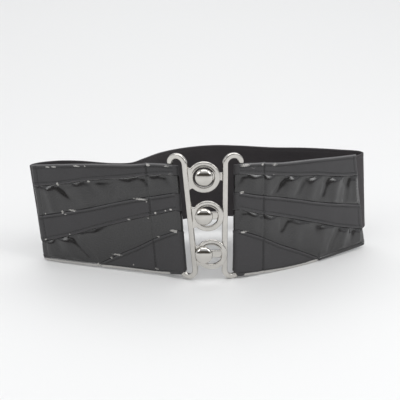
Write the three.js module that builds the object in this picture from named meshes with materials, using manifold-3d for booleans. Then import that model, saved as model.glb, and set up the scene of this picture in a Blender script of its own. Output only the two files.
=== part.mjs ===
// Wide elastic waist belt, fastened at the front and standing on its lower edge, in millimetres.
// X runs along the front from left to right, Y from the clasp to the back, and Z is up.
// Two leather panels of five strips each meet at a cast clasp, and an elastic band closes the loop.

import * as THREE from 'three';
import { mergeVertices } from 'three/addons/utils/BufferGeometryUtils.js';
import Module from 'manifold-3d';

// Leather panels
const LEFT_PANEL_LENGTH = 140.5;
const RIGHT_PANEL_LENGTH = 149.5;
const PANEL_HEIGHT = 114;
const LEATHER_WALL = 1.6;
const SEAM_LIP = 3;
const SEAM_STEP = 1.2;
const HEM_WIDTH = 3.2;
const HEM_RISE = 0.7;
const CHANNEL_DEPTH = 26;
const CHANNEL_MARGIN = 2.5;
const BACK_DROP = 2.4;
const END_CORNER = 3;
const TIP_HEIGHT = 4;
const TIP_LENGTH = 2;
const PUFF_RISE = 0.9;
const PUCKER_RISE = 1.5;
const PUCKER_WIDTH = 5;
const PUCKER_DRIFT = 11;

// Elastic band
const ELASTIC_HEIGHT = 75;
const ELASTIC_WALL = 1.6;
const ELASTIC_BOTTOM = 18;
const ELASTIC_OVERLAP = 14;
const WAIST_DEPTH = 54;

// Clasp
const PLATE_HEIGHT = 124.5;
const BAR_WIDTH = 5.2;
const BAR_DEPTH = 3.8;
const BAR_SPACING = 15.4;
const BAR_BEVEL = 1.1;
const BAR_SLACK = 3;
const EYE_PITCH = 38.2;
const EYE_OUTER = 30;
const EYE_HOLE = 19.4;
const EYE_DEPTH = 3.2;
const EYE_REACH = 16.3;
const EYE_RIM = 1.5;
const EYE_FACE_DROP = 0.5;
const WEB_HEIGHT = 19;
const WEB_FLARE = 3.3;
const WEB_DEPTH = 2.6;
const STUD_HEAD = 16.6;
const STUD_DOME = 4.8;
const STUD_NECK = 4.8;
const STUD_EDGE = 0.7;
const STUD_REACH = 19.5;
const ARM_HEIGHT = 7.2;
const ARM_DEPTH = 2.6;
const ARM_DROP = 1.2;

// How the clasp's two halves lie to each other
const STUD_HEIGHT = 65.5;
const STUD_BAR_X = 23;
const STUD_BAR_Y = -0.6;
const EYE_OFFSET = 3.4;
const EYE_SHIFT = 3.9;
const EYE_LEAN = THREE.MathUtils.degToRad(5.3);
const EYE_LIFT = 1.3;

// Clearances
const LAYER_GAP = 0.3;
const BAR_CLEARANCE = 0.4;
const PLATE_CLEARANCE = 0.5;

// Fineness of the faceted walls
const MATTE_ROWS = 11;
const PATENT_ROWS = 24;
const FOLD_ROWS = 5;
const BACK_ROWS = 3;
const ELASTIC_ROWS = 76;
const ROUND_STEPS = 20;

// Seam heights across a panel, as shares of PANEL_HEIGHT. left and right: each panel's lower edge.
// along: 0 at the fold by the clasp, 1 at the side end, as a share of the panel's length.
const SEAMS = [
  { along: 0.0, left: 0.045, right: 0.016, d: 0.434, c: 0.614, b: 0.76, a: 0.92, top: 1.0 },
  { along: 0.15, left: 0.016, right: 0.008, d: 0.344, c: 0.547, b: 0.704, a: 0.887, top: 0.985 },
  { along: 0.3, left: 0.008, right: 0.002, d: 0.236, c: 0.488, b: 0.656, a: 0.847, top: 0.956 },
  { along: 0.45, left: 0.0, right: 0.0, d: 0.14, c: 0.422, b: 0.6, a: 0.812, top: 0.94 },
  { along: 0.6, left: 0.0, right: 0.0, d: 0.036, c: 0.354, b: 0.54, a: 0.779, top: 0.922 },
  { along: 0.8, left: 0.0, right: 0.005, d: -0.1, c: 0.258, b: 0.47, a: 0.717, top: 0.891 },
  { along: 1.0, left: 0.01, right: 0.022, d: -0.24, c: 0.174, b: 0.401, a: 0.671, top: 0.858 },
];

// How each panel lies in plan. heading: degrees that it turns back from the X axis.
// leanX and leanY: how far its top edge lies beside its bottom edge, as shares of PANEL_HEIGHT.
const LEFT_PLAN = [
  { along: 0.0, heading: 28, leanX: -0.071, leanY: -0.012 },
  { along: 0.2, heading: 18, leanX: -0.081, leanY: 0 },
  { along: 0.6, heading: 18, leanX: -0.1, leanY: 0.012 },
  { along: 1.0, heading: 20, leanX: -0.121, leanY: 0.027 },
];
const RIGHT_PLAN = [
  { along: 0.0, heading: 20, leanX: 0, leanY: 0 },
  { along: 0.2, heading: 27, leanX: -0.008, leanY: 0 },
  { along: 0.6, heading: 33, leanX: -0.04, leanY: 0.004 },
  { along: 1.0, heading: 40, leanX: -0.107, leanY: 0.013 },
];

// Route of the elastic round the back, between the panels' side ends.
// across: share of the distance between the ends. depth: share of WAIST_DEPTH behind them.
const BACK_ROUTE = [
  { across: -0.014, depth: 0.17 },
  { across: 0.0, depth: 0.315 },
  { across: 0.035, depth: 0.37 },
  { across: 0.104, depth: 0.317 },
  { across: 0.211, depth: 0.115 },
  { across: 0.265, depth: 0.115 },
  { across: 0.306, depth: 0.346 },
  { across: 0.357, depth: 0.663 },
  { across: 0.432, depth: 0.907 },
  { across: 0.52, depth: 0.994 },
  { across: 0.603, depth: 0.93 },
  { across: 0.716, depth: 0.741 },
  { across: 0.814, depth: 0.665 },
  { across: 0.924, depth: 0.487 },
  { across: 0.984, depth: 0.354 },
  { across: 1.008, depth: 0.2 },
];

// Crests of the gathers in the patent strips. left and right: where each crest stands, as a share
// of the panel's length. rise: a share of PUCKER_RISE.
const PUCKERS = [
  { strip: 'upper', left: 0.12, right: 0.11, rise: 0.6 },
  { strip: 'upper', left: 0.31, right: 0.35, rise: 0.8 },
  { strip: 'upper', left: 0.5, right: 0.53, rise: 0.8 },
  { strip: 'upper', left: 0.7, right: 0.75, rise: 1.0 },
  { strip: 'upper', left: 0.89, right: 0.92, rise: 0.8 },
  { strip: 'lower', left: 0.14, right: 0.18, rise: 0.6 },
  { strip: 'lower', left: 0.34, right: 0.4, rise: 0.8 },
  { strip: 'lower', left: 0.56, right: 0.64, rise: 0.8 },
  { strip: 'lower', left: 0.79, right: 0.83, rise: 1.0 },
  { strip: 'lower', left: 0.95, right: 0.96, rise: 0.6 },
];

const LEATHER = { color: 0x444446, roughness: 0.6, metalness: 0 };
const PATENT = { color: 0x282729, roughness: 0.25, metalness: 0 };
const WOVEN = { color: 0x323031, roughness: 0.9, metalness: 0 };
const CHROME = { color: 0xcbc8c2, roughness: 0.15, metalness: 1 };

const FOLD_INNER = BAR_DEPTH / 2 + BAR_CLEARANCE;
const FOLD_TURN = Math.PI * (FOLD_INNER + LEATHER_WALL / 2);
const LIP_OFFSET = LEATHER_WALL + LAYER_GAP;
const FRAME_OUTER = (BAR_SPACING + BAR_WIDTH) / 2;
const FRAME_INNER = (BAR_SPACING - BAR_WIDTH) / 2;
const EYE_BAR_X = STUD_BAR_X - STUD_REACH + EYE_OFFSET - EYE_REACH;
const EYE_BAR_Y = STUD_BAR_Y - EYE_SHIFT;

// Smooth value of one column of a table at a place along it, straight beyond its ends
function column(table, key, along) {
  const last = table.length - 1;
  const slope = (i) => {
    const from = table[Math.max(i - 1, 0)];
    const to = table[Math.min(i + 1, last)];
    return (to[key] - from[key]) / (to.along - from.along);
  };
  if (along <= table[0].along) return table[0][key] + slope(0) * (along - table[0].along);
  if (along >= table[last].along) return table[last][key] + slope(last) * (along - table[last].along);
  let i = 0;
  while (table[i + 1].along < along) i += 1;
  const span = table[i + 1].along - table[i].along;
  const t = (along - table[i].along) / span;
  const rise = table[i + 1][key] - table[i][key];
  const enter = slope(i) * span - rise;
  const leave = slope(i + 1) * span - rise;
  return table[i][key] + rise * t + t * (1 - t) * (enter * (1 - t) - leave * t);
}

const smooth = (t) => THREE.MathUtils.smoothstep(t, 0, 1);
const foldHeading = (plan) => THREE.MathUtils.degToRad(plan[0].heading);

// Directions of a panel's plan at a place along it: away from the clasp, outwards, and its lean
function directions(side, along) {
  const heading = THREE.MathUtils.degToRad(column(side.plan, 'heading', along));
  return {
    away: new THREE.Vector3(side.hand * Math.cos(heading), Math.sin(heading), 0),
    out: new THREE.Vector3(side.hand * Math.sin(heading), -Math.cos(heading), 0),
    lean: new THREE.Vector3(column(side.plan, 'leanX', along), column(side.plan, 'leanY', along), 0),
  };
}

// Foot of the panel's inner face at a length from the fold, found by adding up short steps
function frontPlace(side, length) {
  const steps = 24;
  const place = side.start.clone();
  for (let i = 0; i < steps; i += 1) {
    const mid = ((i + 0.5) / steps) * length;
    place.addScaledVector(directions(side, mid / side.length).away, length / steps);
  }
  return { place, ...directions(side, length / side.length) };
}

// The leather's path: 0 or more on the front, then round the bar, then along the turned-back layer
function leatherPlace(side, path) {
  if (path >= 0) return frontPlace(side, path);
  const fold = directions(side, 0);
  const turned = -path;
  if (turned < FOLD_TURN) {
    const angle = (turned / FOLD_TURN) * Math.PI;
    const centre = side.start.clone().addScaledVector(fold.out, -FOLD_INNER);
    const out = fold.out.clone().multiplyScalar(Math.cos(angle)).addScaledVector(fold.away, -Math.sin(angle));
    return { place: centre.addScaledVector(out, FOLD_INNER), out, lean: fold.lean };
  }
  const back = turned - FOLD_TURN;
  const front = frontPlace(side, back);
  const pastBar = BAR_SLACK + BAR_WIDTH;
  const closing = smooth((back - pastBar) / (CHANNEL_DEPTH - pastBar));
  const apart = THREE.MathUtils.lerp(2 * FOLD_INNER, LAYER_GAP, closing);
  const place = front.place.addScaledVector(front.out, -apart);
  return { place, out: front.out.clone().negate(), lean: front.lean };
}

// One side of the belt. hand: -1 on the left and 1 on the right. barX and barY: the clasp's visible bar
// at the height of the middle stud. lift: how far that half of the clasp stands off the surface.
function makeSide(name, hand, length, plan, barX, barY, lift) {
  const side = { name, hand, length, plan, lift };
  const fold = directions(side, 0);
  const foldedBar = new THREE.Vector3(barX, barY, 0).addScaledVector(fold.away, BAR_SPACING);
  side.start = foldedBar
    .addScaledVector(fold.away, -BAR_SLACK)
    .addScaledVector(fold.out, FOLD_INNER)
    .addScaledVector(fold.lean, -STUD_HEIGHT);
  return side;
}

// Rows of a strip's mesh along the path, from the side end to the back of the channel
function pathRows(side, frontRows, stop = side.length) {
  const rows = [];
  for (let i = 0; i <= frontRows; i += 1) rows.push(stop * (1 - i / frontRows));
  for (let i = 1; i <= FOLD_ROWS; i += 1) rows.push((-FOLD_TURN * i) / FOLD_ROWS);
  const backLength = CHANNEL_DEPTH + CHANNEL_MARGIN;
  for (let i = 1; i <= BACK_ROWS; i += 1) rows.push(-FOLD_TURN - (backLength * i) / BACK_ROWS);
  return rows;
}

// Seam heights at a place on the path, in millimetres. The turned-back layer runs level and a little
// lower, and its lower edge clears the round end of the frame.
function seamHeights(side, path) {
  const along = Math.max(path, 0) / side.length;
  const drop = BACK_DROP * smooth(-path / FOLD_TURN);
  const heights = { bottom: Math.max(PANEL_HEIGHT * column(SEAMS, side.name, along), 0) };
  for (const key of ['d', 'c', 'b', 'a', 'top']) {
    heights[key] = PANEL_HEIGHT * column(SEAMS, key, along) - drop;
  }
  if (path < 0) {
    const reach = BAR_SLACK + FOLD_INNER / 2;
    const round = FRAME_OUTER - Math.sqrt(FRAME_INNER ** 2 - (BAR_SPACING / 2 - reach) ** 2);
    heights.bottom = Math.max(heights.bottom, side.lift + round + BAR_CLEARANCE);
  }
  const cornerStart = side.length - END_CORNER;
  if (path > cornerStart) {
    heights.bottom += END_CORNER - Math.sqrt(Math.max(END_CORNER ** 2 - (path - cornerStart) ** 2, 0));
  }
  return heights;
}

// The bottom strip narrows to a point, and its turned edges narrow with it
function bottomStripEdges(heights) {
  const height = heights.d - heights.bottom;
  return {
    lip: Math.min(SEAM_LIP, 0.3 * height),
    step: Math.min(SEAM_STEP, 0.1 * height),
    hem: Math.min(HEM_WIDTH, 0.25 * height),
  };
}

// A matte strip's section: a turned lip over each patent neighbour, or a turned hem at the belt's edge
function matteSection(lower, upper, lowerHem, upperHem, edges) {
  const lipOuter = LIP_OFFSET + LEATHER_WALL;
  const hemOuter = LEATHER_WALL + HEM_RISE;
  const low = lowerHem ? { width: edges.hem, outer: hemOuter, inner: 0 } : null;
  const high = upperHem ? { width: edges.hem, outer: hemOuter, inner: 0 } : null;
  const bottom = low ?? { width: edges.lip, outer: lipOuter, inner: LIP_OFFSET };
  const top = high ?? { width: edges.lip, outer: lipOuter, inner: LIP_OFFSET };
  return [
    { z: lower, outer: bottom.outer, inner: bottom.inner },
    { z: lower + bottom.width, outer: bottom.outer, inner: bottom.inner },
    { z: lower + bottom.width + edges.step, outer: LEATHER_WALL, inner: 0 },
    { z: upper - top.width - edges.step, outer: LEATHER_WALL, inner: 0 },
    { z: upper - top.width, outer: top.outer, inner: top.inner },
    { z: upper, outer: top.outer, inner: top.inner },
  ];
}

// How far a patent strip stands out at a place along it and a share of its height
function gather(side, strip, path, share) {
  if (path <= 0) return 0;
  const height = share - 0.5;
  let rise = PUFF_RISE;
  for (const pucker of PUCKERS.filter((row) => row.strip === strip)) {
    const crest = pucker[side.name] * side.length + PUCKER_DRIFT * height;
    rise += PUCKER_RISE * pucker.rise * Math.exp(-(((path - crest) / PUCKER_WIDTH) ** 2));
  }
  const endFade = smooth(Math.min(path, side.length - path) / (2 * SEAM_LIP));
  return rise * Math.sin(Math.PI * share) * endFade;
}

// A patent strip's section: flat margins under its neighbours' lips and a gathered field between
function patentSection(side, strip, path, lower, upper, foot) {
  const margin = SEAM_LIP - LAYER_GAP;
  const hem = foot ? foot.hem : 0;
  const section = [
    { z: foot ? foot.z : lower - margin, outer: LEATHER_WALL + hem, inner: 0 },
    { z: foot ? foot.z + foot.width : lower, outer: LEATHER_WALL + hem, inner: 0 },
  ];
  const from = section[1].z;
  for (const share of [0.25, 0.5, 0.75]) {
    const rise = gather(side, strip, path, share);
    section.push({ z: THREE.MathUtils.lerp(from, upper, share), outer: LEATHER_WALL + rise, inner: rise });
  }
  section.push({ z: upper, outer: LEATHER_WALL, inner: 0 });
  section.push({ z: upper + margin, outer: LEATHER_WALL, inner: 0 });
  return section;
}

// Closed wall through a list of rows, each with a place, an outward direction, a lean and a section
function wall(rows) {
  const stations = rows[0].section.length;
  const points = [];
  for (const row of rows) {
    for (const face of ['outer', 'inner']) {
      for (const station of row.section) {
        const point = row.place.clone().addScaledVector(row.out, station[face]);
        point.addScaledVector(row.lean, station.z);
        points.push(point.x, point.y, point.z + station.z);
      }
    }
  }
  const ring = [];
  for (let i = 0; i < stations; i += 1) ring.push(i);
  for (let i = stations - 1; i >= 0; i -= 1) ring.push(stations + i);
  const faces = [];
  const quad = (a, b, c, d) => faces.push(a, b, c, a, c, d);
  for (let row = 0; row + 1 < rows.length; row += 1) {
    const here = row * 2 * stations;
    const next = here + 2 * stations;
    ring.forEach((corner, i) => {
      const following = ring[(i + 1) % ring.length];
      quad(here + corner, here + following, next + following, next + corner);
    });
  }
  const end = (rows.length - 1) * 2 * stations;
  for (let i = 0; i + 1 < stations; i += 1) {
    quad(i, stations + i, stations + i + 1, i + 1);
    quad(end + i, end + i + 1, end + stations + i + 1, end + stations + i);
  }
  return outwardGeometry(points, faces);
}

// Indexed geometry whose faces point outwards, whichever way round its rows were given
function outwardGeometry(points, faces) {
  const corner = (i) => new THREE.Vector3().fromArray(points, 3 * faces[i]);
  let volume = 0;
  for (let i = 0; i < faces.length; i += 3) {
    volume += corner(i).dot(corner(i + 1).cross(corner(i + 2)));
  }
  const turned = [];
  for (let i = 0; i < faces.length; i += 3) {
    if (volume > 0) turned.push(faces[i], faces[i + 1], faces[i + 2]);
    else turned.push(faces[i], faces[i + 2], faces[i + 1]);
  }
  const geometry = new THREE.BufferGeometry();
  geometry.setAttribute('position', new THREE.Float32BufferAttribute(points, 3));
  geometry.setIndex(turned);
  geometry.computeVertexNormals();
  return geometry;
}

function piece(name, geometry, finish) {
  const mesh = new THREE.Mesh(geometry, new THREE.MeshStandardMaterial(finish));
  mesh.name = name;
  return mesh;
}

// A strip of a panel as a mesh, from the function that gives its section at a place on the path
function strip(side, name, finish, path, sectionAt) {
  const rows = path.map((length) => ({ ...leatherPlace(side, length), section: sectionAt(length) }));
  return piece(`${side.name}_${name}`, wall(rows), finish);
}

const plainEdges = { lip: SEAM_LIP, step: SEAM_STEP, hem: HEM_WIDTH };

// The length from the fold at which the bottom strip has narrowed to its tip
function bottomStripTip(side) {
  let length = 0;
  while (length < side.length) {
    const heights = seamHeights(side, length);
    if (heights.d - heights.bottom < TIP_HEIGHT) break;
    length += TIP_LENGTH / 4;
  }
  return length;
}

function panel(side) {
  const group = new THREE.Group();
  const matteRows = pathRows(side, MATTE_ROWS);
  const patentRows = pathRows(side, PATENT_ROWS);
  group.add(strip(side, 'top_strip', LEATHER, matteRows, (path) => {
    const seam = seamHeights(side, path);
    return matteSection(seam.a, seam.top, false, true, plainEdges);
  }));
  group.add(strip(side, 'upper_patent', PATENT, patentRows, (path) => {
    const seam = seamHeights(side, path);
    return patentSection(side, 'upper', path, seam.b, seam.a, null);
  }));
  group.add(strip(side, 'middle_strip', LEATHER, matteRows, (path) => {
    const seam = seamHeights(side, path);
    return matteSection(seam.c, seam.b, false, false, plainEdges);
  }));

  // Past the bottom strip's tip, the lower patent strip reaches down to the belt's lower edge
  const tip = bottomStripTip(side);
  const past = tip + TIP_LENGTH;
  const clearOfTip = (path) => path < tip - TIP_LENGTH || path > past + TIP_LENGTH;
  const lowerRows = pathRows(side, PATENT_ROWS).filter(clearOfTip);
  lowerRows.push(tip, past, side.length - END_CORNER / 3, side.length - END_CORNER);
  lowerRows.sort((one, other) => other - one);
  group.add(strip(side, 'lower_patent', PATENT, lowerRows, (path) => {
    const seam = seamHeights(side, path);
    if (path > tip) {
      return patentSection(side, 'lower', path, 0, seam.c, { z: seam.bottom, width: HEM_WIDTH, hem: HEM_RISE });
    }
    const lip = bottomStripEdges(seam).lip;
    const foot = { z: seam.d - lip + LAYER_GAP, width: lip - LAYER_GAP, hem: 0 };
    return patentSection(side, 'lower', path, 0, seam.c, foot);
  }));
  group.add(strip(side, 'bottom_strip', LEATHER, pathRows(side, MATTE_ROWS - 3, tip), (path) => {
    const seam = seamHeights(side, path);
    return matteSection(seam.bottom, seam.d, true, false, bottomStripEdges(seam));
  }));
  return group;
}

// The elastic's route: stitched behind one panel's side end, round the back, behind the other's
function elasticRoute(left, right) {
  const behind = -(LAYER_GAP + ELASTIC_WALL / 2);
  const stitched = (side, length) => {
    const spot = frontPlace(side, length);
    return spot.place.addScaledVector(spot.out, behind);
  };
  const stitchedRun = (side) => [1, 0.6, 0.3, 0].map((share) => stitched(side, side.length - share * ELASTIC_OVERLAP));
  const leftRun = stitchedRun(left);
  const rightRun = stitchedRun(right).reverse();
  const from = leftRun[leftRun.length - 1];
  const to = rightRun[0];
  const back = BACK_ROUTE.map((row) => {
    const spot = new THREE.Vector3().lerpVectors(from, to, row.across);
    spot.y += row.depth * WAIST_DEPTH;
    return spot;
  });
  return new THREE.CatmullRomCurve3([...leftRun, ...back, ...rightRun], false, 'centripetal');
}

function elasticBand(left, right) {
  const route = elasticRoute(left, right);
  route.arcLengthDivisions = 10 * ELASTIC_ROWS;
  const total = route.getLength();
  const section = [
    { z: ELASTIC_BOTTOM, outer: ELASTIC_WALL / 2, inner: -ELASTIC_WALL / 2 },
    { z: ELASTIC_BOTTOM + ELASTIC_HEIGHT, outer: ELASTIC_WALL / 2, inner: -ELASTIC_WALL / 2 },
  ];
  const rows = [];
  for (let i = 0; i <= ELASTIC_ROWS; i += 1) {
    const share = i / ELASTIC_ROWS;
    const place = route.getPointAt(share);
    const along = route.getTangentAt(share);
    const side = share < 0.5 ? left : right;
    const fromEnd = Math.min(share, 1 - share) * total;
    const kept = 1 - smooth((fromEnd - ELASTIC_OVERLAP) / (2 * ELASTIC_OVERLAP));
    const lean = directions(side, 1).lean.multiplyScalar(kept);
    rows.push({ place, out: new THREE.Vector3(-along.y, along.x, 0), lean, section });
  }
  return piece('elastic_band', wall(rows), WOVEN);
}

const wasm = await Module();
wasm.setup();

function toSolid(geometry) {
  const bare = geometry.clone();
  bare.deleteAttribute('normal');
  bare.deleteAttribute('uv');
  const merged = mergeVertices(bare, 0.0001);
  const mesh = new wasm.Mesh({
    numProp: 3,
    vertProperties: new Float32Array(merged.attributes.position.array),
    triVerts: new Uint32Array(merged.index.array),
  });
  return new wasm.Manifold(mesh);
}

function toGeometry(solid) {
  const mesh = solid.getMesh();
  const geometry = new THREE.BufferGeometry();
  geometry.setAttribute('position', new THREE.BufferAttribute(mesh.vertProperties, 3));
  geometry.setIndex(new THREE.BufferAttribute(mesh.triVerts, 1));
  geometry.computeVertexNormals();
  return geometry;
}

// Each half of the clasp is made lying in the XY plane, front up, with its visible bar on the Y axis.

// Rounded flat bar bent into a long loop: the visible bar, two round ends and the bar in the leather
function clampFrame(hand, sweep) {
  const middle = (hand * BAR_SPACING) / 2;
  const loop = (radius) => {
    const path = new THREE.Path();
    path.absarc(middle, PLATE_HEIGHT - FRAME_OUTER, radius, 0, Math.PI, false);
    path.absarc(middle, FRAME_OUTER, radius, Math.PI, 2 * Math.PI, false);
    path.closePath();
    return path;
  };
  const outline = new THREE.Shape(loop(FRAME_OUTER - BAR_BEVEL).getPoints(ROUND_STEPS / 2));
  outline.holes.push(loop(FRAME_INNER + BAR_BEVEL));
  const bar = new THREE.ExtrudeGeometry(outline, {
    depth: BAR_DEPTH - 2 * BAR_BEVEL,
    bevelThickness: BAR_BEVEL,
    bevelSize: BAR_BEVEL,
    bevelSegments: 2,
    curveSegments: ROUND_STEPS / 2,
  });
  bar.translate(0, 0, BAR_BEVEL - BAR_DEPTH / 2);
  bar.rotateY(hand * sweep);
  return bar;
}

// An eye: a round washer with a raised inner rim and a raised outer rim
function eyeRing() {
  const hole = EYE_HOLE / 2;
  const edge = EYE_OUTER / 2;
  const back = -EYE_DEPTH / 2;
  const front = EYE_DEPTH / 2;
  const face = front - EYE_FACE_DROP;
  const profile = [
    [hole, back],
    [edge - EYE_RIM / 2, back],
    [edge, back + EYE_RIM / 2],
    [edge, front - EYE_RIM / 2],
    [edge - EYE_RIM / 2, front],
    [edge - EYE_RIM, face],
    [hole + EYE_RIM, face],
    [hole + EYE_RIM / 2, front],
    [hole, front - EYE_RIM / 2],
    [hole, back],
  ];
  const ring = new THREE.LatheGeometry(profile.map(([r, z]) => new THREE.Vector2(r, z)), ROUND_STEPS + 2);
  return ring.rotateX(Math.PI / 2);
}

// The web that joins an eye to the bar, with a hollow curve above and below
function eyeWeb() {
  const half = WEB_HEIGHT / 2;
  const flare = half + WEB_FLARE;
  const neck = EYE_REACH - EYE_OUTER / 2 + BAR_WIDTH;
  const outline = new THREE.Shape();
  outline.moveTo(0, flare);
  outline.quadraticCurveTo(BAR_WIDTH / 2, half, neck, half);
  outline.lineTo(neck, -half);
  outline.quadraticCurveTo(BAR_WIDTH / 2, -half, 0, -flare);
  outline.closePath();
  const web = new THREE.ExtrudeGeometry(outline, { depth: WEB_DEPTH, bevelEnabled: false, curveSegments: 5 });
  return web.translate(0, 0, -WEB_DEPTH / 2);
}

function eyePlate(sweep) {
  const hole = new THREE.CylinderGeometry(EYE_HOLE / 2, EYE_HOLE / 2, 3 * EYE_DEPTH, ROUND_STEPS + 2);
  hole.rotateX(Math.PI / 2);
  let plate = toSolid(clampFrame(-1, sweep));
  for (const row of [-1, 0, 1]) {
    const height = PLATE_HEIGHT / 2 + row * EYE_PITCH;
    const web = toSolid(eyeWeb().translate(0, height, 0));
    const cut = toSolid(hole.clone().translate(EYE_REACH, height, 0));
    const ring = toSolid(eyeRing().translate(EYE_REACH, height, 0));
    plate = plate.add(web.subtract(cut)).add(ring);
  }
  return toGeometry(plate);
}

// A stud: a thin neck that passes through an eye and a domed head in front of it
function stud() {
  const head = STUD_HEAD / 2;
  const neck = STUD_NECK / 2;
  const base = EYE_SHIFT + EYE_DEPTH / 2 + PLATE_CLEARANCE;
  const profile = [
    [0, 0],
    [neck, 0],
    [neck, base],
    [head - STUD_EDGE, base],
    [head, base + STUD_EDGE],
    [head, base + 2 * STUD_EDGE],
    [0.9 * head, base + 0.58 * STUD_DOME],
    [0.66 * head, base + 0.83 * STUD_DOME],
    [0.35 * head, base + 0.96 * STUD_DOME],
    [0, base + STUD_DOME],
  ];
  const knob = new THREE.LatheGeometry(profile.map(([r, z]) => new THREE.Vector2(r, z)), ROUND_STEPS - 2);
  return knob.rotateX(Math.PI / 2);
}

// An arm that runs behind an eye, from the bar to the stud, round at its end
function studArm() {
  const half = ARM_HEIGHT / 2;
  const outline = new THREE.Shape();
  outline.moveTo(0, half);
  outline.lineTo(-STUD_REACH, half);
  outline.absarc(-STUD_REACH, 0, half, Math.PI / 2, 1.5 * Math.PI, false);
  outline.lineTo(0, -half);
  outline.closePath();
  const arm = new THREE.ExtrudeGeometry(outline, { depth: ARM_DEPTH, bevelEnabled: false, curveSegments: 8 });
  return arm.translate(0, 0, -ARM_DEPTH / 2);
}

function studPlate(sweep) {
  let plate = toSolid(clampFrame(1, sweep));
  for (const row of [-1, 0, 1]) {
    const height = STUD_HEIGHT + row * EYE_PITCH;
    plate = plate.add(toSolid(studArm().translate(0, height - ARM_DROP, 0)));
    plate = plate.add(toSolid(stud().translate(-STUD_REACH, height, 0)));
  }
  return toGeometry(plate);
}

function clasp() {
  const group = new THREE.Group();
  const studs = piece('stud_plate', studPlate(foldHeading(RIGHT_PLAN)), CHROME);
  studs.rotation.x = Math.PI / 2;
  studs.position.set(STUD_BAR_X, STUD_BAR_Y, 0);
  group.add(studs);

  // The eye half hangs on the studs and leans a little to the left
  const eyes = piece('eye_plate', eyePlate(foldHeading(LEFT_PLAN)).translate(0, -STUD_HEIGHT + EYE_LIFT, 0), CHROME);
  eyes.rotation.set(Math.PI / 2, 0, 0);
  const leaning = new THREE.Group();
  leaning.rotation.y = -EYE_LEAN;
  leaning.position.set(EYE_BAR_X, EYE_BAR_Y, STUD_HEIGHT);
  leaning.add(eyes);
  group.add(leaning);
  return group;
}

const left = makeSide('left', -1, LEFT_PANEL_LENGTH, LEFT_PLAN, EYE_BAR_X, EYE_BAR_Y, EYE_LIFT);
const right = makeSide('right', 1, RIGHT_PANEL_LENGTH, RIGHT_PLAN, STUD_BAR_X, STUD_BAR_Y, 0);

const belt = new THREE.Group();
belt.add(panel(left), panel(right), elasticBand(left, right), clasp());

// The origin lies under the middle of the belt, on the surface that it stands on
const bounds = new THREE.Box3().setFromObject(belt, true);
const centre = bounds.getCenter(new THREE.Vector3());
belt.position.set(-centre.x, -centre.y, -bounds.min.z);

export default belt;
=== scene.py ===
"""Wide elastic waist belt, fastened at the front and standing on its lower edge.

Two fanned leather panels, an elastic band round the back and a cast clasp with three studs. Shapes are
worked out in millimetres, and each finished mesh is then put in its place in the frame, in metres.
"""

import math
from types import SimpleNamespace

import bmesh
import bpy
from mathutils import Matrix, Vector, noise


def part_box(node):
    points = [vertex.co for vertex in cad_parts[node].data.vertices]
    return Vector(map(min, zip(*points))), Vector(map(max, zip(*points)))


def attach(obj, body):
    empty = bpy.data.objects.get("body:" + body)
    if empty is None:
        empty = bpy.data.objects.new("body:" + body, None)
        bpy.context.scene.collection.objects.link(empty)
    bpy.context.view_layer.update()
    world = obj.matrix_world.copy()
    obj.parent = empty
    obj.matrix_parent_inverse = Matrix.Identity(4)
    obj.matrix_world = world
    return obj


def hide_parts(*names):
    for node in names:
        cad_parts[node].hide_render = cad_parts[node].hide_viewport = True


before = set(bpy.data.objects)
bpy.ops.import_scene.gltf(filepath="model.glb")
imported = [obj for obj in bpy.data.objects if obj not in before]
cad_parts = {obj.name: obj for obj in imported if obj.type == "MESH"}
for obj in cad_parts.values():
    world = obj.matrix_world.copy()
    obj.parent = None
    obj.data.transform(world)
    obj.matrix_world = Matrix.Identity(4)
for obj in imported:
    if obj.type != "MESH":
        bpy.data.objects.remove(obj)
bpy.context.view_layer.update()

MM = 0.001

# Leather panels, in millimetres
LEFT_PANEL_LENGTH = 140.5
RIGHT_PANEL_LENGTH = 149.5
PANEL_HEIGHT = 114
LEATHER_WALL = 1.6
LEAST_WALL = 0.3
LINING = 0.1
LAYER_GAP = 0.3
EDGE_ROUND = 0.6
END_ROUND = 0.7
END_CORNER = 3
END_WAVE = 0.35
END_WAVE_PITCH = 5.5
END_TRIM = 0.3
NARROW_STRIP = 12
FOOT_REACH = {"left": 2.6, "right": 2.8}

# Seams and hems: a matte strip's lip laps over the patent strip, which lies lower there
SEAM_LIP = 3
LIP_RISE = 0.4
LIP_INNER = 0.8
UNDER_LIP = 0.65
SEAM_LEVEL = 1.25
HEM_WIDTH = 3.2
HEM_RISE = 0.35
END_SEAM = 5

# Channel that holds the clasp's bar, and the layer that is turned back behind it
CHANNEL_DEPTH = 26
CHANNEL_MARGIN = 2.5
BACK_DROP = 2.4
BAR_CLEARANCE = 0.4

# Tip of the bottom strip, and the fullness of the patent strips
TIP_HEIGHT = 4
TIP_LENGTH = 2
PUFF_RISE = 0.8
SWELL_WIDTH = 5.5
TUCK_SLANT = 0.6

# Elastic band
ELASTIC_HEIGHT = 76
ELASTIC_WALL = 1.6
ELASTIC_BOTTOM = 19
ELASTIC_OVERLAP = 14
ELASTIC_WAVE = 0.5
FIRM_EDGE = 1.4
FIRM_EDGE_RISE = 0.25
FIRM_EDGE_WIDTH = 1.2
WAIST_DEPTH = 54

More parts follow.
